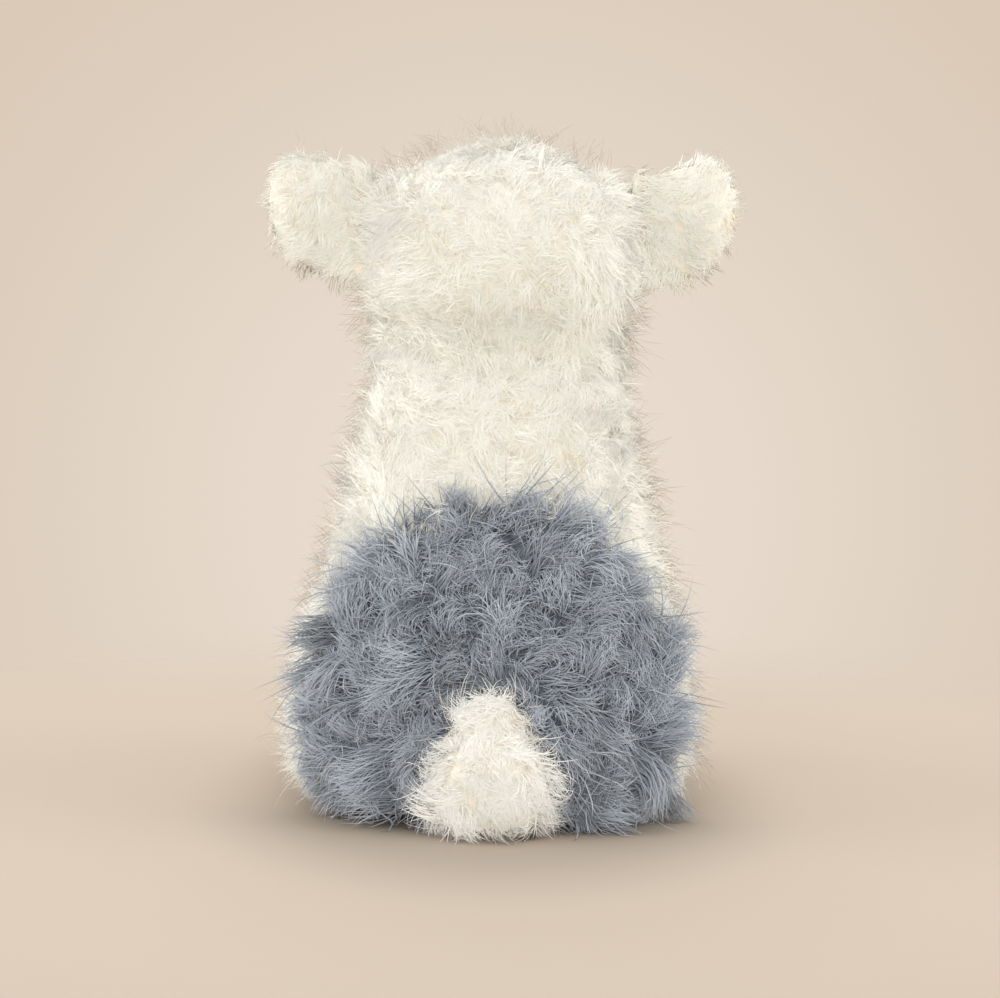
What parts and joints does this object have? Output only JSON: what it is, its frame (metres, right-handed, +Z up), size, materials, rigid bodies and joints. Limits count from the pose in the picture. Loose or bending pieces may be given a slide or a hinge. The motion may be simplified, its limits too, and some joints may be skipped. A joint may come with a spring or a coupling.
{
  "type": "plush sheepdog",
  "caption": "Shaggy soft toy dog that sits by itself, with a rump of darker pile, ears that fold, a nodding head and legs and a tail that lift.",
  "frame": {"origin": "middle of the flat seat, on the surface that the toy sits on", "axes": "+Z up; -Y the way the toy faces; +X the toy's own left side"},
  "size_m": [0.276, 0.3077, 0.387],
  "materials": {
    "cream_pile": "long cream pile",
    "white_pile": "long white pile",
    "grey_pile": "long grey-blue pile",
    "short_pile": "short pile",
    "seat_cloth": "woven",
    "filling": "fibre",
    "pellet_cloth": "woven",
    "eye_plastic": "gloss",
    "nose_cloth": "satin",
    "washer_plastic": "moulded"
  },
  "bodies": {
    "torso": {"torso_coat": "cream_pile", "rump_coat": "grey_pile", "seat_panel": "seat_cloth", "torso_filling": "filling", "pellet_bag": "pellet_cloth"},
    "head": {"head_coat": "cream_pile", "head_filling": "filling", "muzzle_coat": "cream_pile", "muzzle_filling": "filling", "nose": "nose_cloth", "left_eye": "eye_plastic", "left_eye_washer": "washer_plastic", "right_eye": "eye_plastic", "right_eye_washer": "washer_plastic"},
    "left_ear": {"left_ear_back": "cream_pile", "left_ear_lining": "short_pile"},
    "right_ear": {"right_ear_back": "cream_pile", "right_ear_lining": "short_pile"},
    "left_front_leg": {"left_front_leg_coat": "cream_pile", "left_front_leg_filling": "filling"},
    "right_front_leg": {"right_front_leg_coat": "cream_pile", "right_front_leg_filling": "filling"},
    "left_hind_leg": {"left_hind_leg_coat": "cream_pile", "left_hind_leg_filling": "filling", "left_sole": "short_pile"},
    "right_hind_leg": {"right_hind_leg_coat": "cream_pile", "right_hind_leg_filling": "filling", "right_sole": "short_pile"},
    "tail": {"tail_coat": "white_pile", "tail_filling": "filling"}
  },
  "joints": [
    {"name": "head_nod", "type": "hinge", "parent": "torso", "child": "head", "pos_m": [0, -0.014, 0.308], "axis": [1, 0, 0], "range_deg": [-15, 10]},
    {"name": "left_ear_fold", "type": "hinge", "parent": "head", "child": "left_ear", "pos_m": [0.079, -0.014, 0.342], "axis": [0, 0, -1], "range_deg": [-35, 35]},
    {"name": "right_ear_fold", "type": "hinge", "parent": "head", "child": "right_ear", "pos_m": [-0.079, -0.014, 0.342], "axis": [0, 0, 1], "range_deg": [-35, 35]},
    {"name": "left_front_leg_swing", "type": "hinge", "parent": "torso", "child": "left_front_leg", "pos_m": [0.05, -0.076, 0.19], "axis": [-1, 0, 0], "range_deg": [0, 80]},
    {"name": "right_front_leg_swing", "type": "hinge", "parent": "torso", "child": "right_front_leg", "pos_m": [-0.05, -0.076, 0.19], "axis": [-1, 0, 0], "range_deg": [0, 80]},
    {"name": "left_hind_leg_lift", "type": "hinge", "parent": "torso", "child": "left_hind_leg", "pos_m": [0.085, -0.088, 0.034], "axis": [-1, 0, 0], "range_deg": [0, 30]},
    {"name": "right_hind_leg_lift", "type": "hinge", "parent": "torso", "child": "right_hind_leg", "pos_m": [-0.085, -0.088, 0.034], "axis": [-1, 0, 0], "range_deg": [0, 30]},
    {"name": "tail_lift", "type": "hinge", "parent": "torso", "child": "tail", "pos_m": [0, 0.101, 0.06], "axis": [1, 0, 0], "range_deg": [0, 75]}
  ]
}
